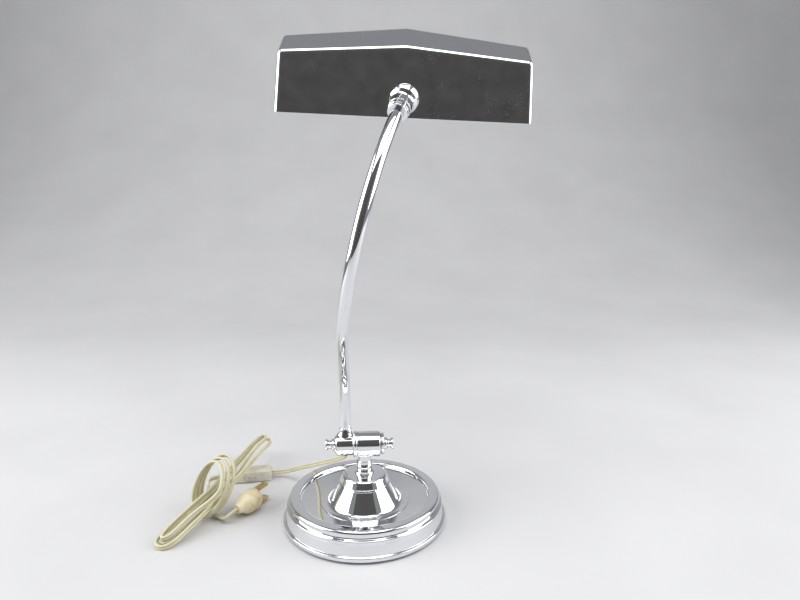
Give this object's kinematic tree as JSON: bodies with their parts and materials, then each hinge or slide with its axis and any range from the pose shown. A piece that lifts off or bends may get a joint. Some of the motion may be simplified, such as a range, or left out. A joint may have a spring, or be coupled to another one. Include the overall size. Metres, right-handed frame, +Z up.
{
  "type": "desk lamp",
  "caption": "Polished chrome desk lamp: weighted round base, friction knuckle, swan-neck swing arm, ball-swivel gabled shade, flat cord tied in a hank with in-line switch and plug.",
  "frame": {"origin": "middle of the felt pad's underside, on the table", "axes": "+Z up, +X along the knuckle's bolt towards the thumb nut, +Y the way the shade throws its light"},
  "size_m": [0.3055, 0.2142, 0.4015],
  "materials": {
    "chrome": "polished chrome plate",
    "shade_chrome": "polished chrome plate",
    "steel": "zinc-plated steel",
    "cast_iron": "raw casting",
    "felt": "felt",
    "cream_pvc": "aged flexible vinyl",
    "plug_plastic": "aged moulded plastic",
    "white_plastic": "moulded plastic",
    "wheel_plastic": "moulded plastic",
    "brass": "bare brass",
    "cap_metal": "rolled thread",
    "black_plastic": "moulded phenolic",
    "bushing_plastic": "moulded plastic",
    "clear_glass": "clear glass",
    "filament": "drawn wire",
    "wire_plastic": "insulated wire"
  },
  "bodies": {
    "base": {"base_shell": "chrome", "base_weight": "cast_iron", "felt_pad": "felt", "base_washer": "steel", "base_nut": "steel", "bell": "chrome", "bell_cap": "chrome", "neck": "chrome", "centre_rod": "steel", "fixed_barrel": "chrome", "barrel_flange": "chrome", "spring_washer": "steel", "end_ring": "chrome", "left_cap": "chrome", "left_spool": "chrome", "pivot_bolt": "steel", "cord_lead": "cream_pvc", "cord_hank": "cream_pvc", "plug_body": "plug_plastic", "plug_blades": "brass", "switch_base": "white_plastic", "switch_cover": "white_plastic", "switch_screw": "steel"},
    "thumb_nut": {"thumb_nut": "chrome"},
    "switch_wheel": {"switch_wheel": "wheel_plastic"},
    "arm_knuckle": {"arm_barrel": "chrome", "arm_collar": "chrome", "cord_bushing": "bushing_plastic"},
    "arm": {"arm_tube": "chrome", "arm_wires": "wire_plastic"},
    "swivel": {"swivel_collar": "chrome", "swivel_cup": "chrome"},
    "shade": {"shade_shell": "shade_chrome", "swivel_ball": "chrome", "clamp_washer": "steel", "clamp_nut": "steel", "socket_bracket": "steel", "socket_shell": "black_plastic", "socket_sleeve": "brass", "socket_contact": "brass", "bulb_cap": "cap_metal", "bulb_glass": "clear_glass", "bulb_stem": "clear_glass", "bulb_filament": "filament"}
  },
  "joints": [
    {"name": "arm_tilt", "type": "hinge", "parent": "base", "child": "arm_knuckle", "pos_m": [-0.01585, 0, 0.068], "axis": [1, 0, 0], "range_deg": [-70, 25], "deforming": ["cord_lead"]},
    {"name": "arm_swivel", "type": "hinge", "parent": "arm_knuckle", "child": "arm", "pos_m": [-0.01585, 0, 0.068], "axis": [0, 0.1392, 0.9903], "range_deg": [-60, 60]},
    {"name": "shade_turn", "type": "hinge", "parent": "arm", "child": "swivel", "pos_m": [0.03312, -0.02077, 0.3491], "axis": [0.3107, 0.7218, 0.6185], "range_deg": [-60, 60]},
    {"name": "shade_tilt", "type": "hinge", "parent": "swivel", "child": "shade", "pos_m": [0.03312, -0.02077, 0.3491], "axis": [0.9977, -0.0514, -0.0447], "range_deg": [-8, 66]},
    {"name": "thumb_nut_turn", "type": "hinge", "parent": "base", "child": "thumb_nut", "pos_m": [0.0217, 0, 0.068], "axis": [1, 0, 0], "range_deg": [-180, 180]},
    {"name": "switch_wheel_turn", "type": "hinge", "parent": "base", "child": "switch_wheel", "pos_m": [-0.11171, 0.07342, 0.0058], "axis": [0, 0, 1], "continuous": true}
  ]
}
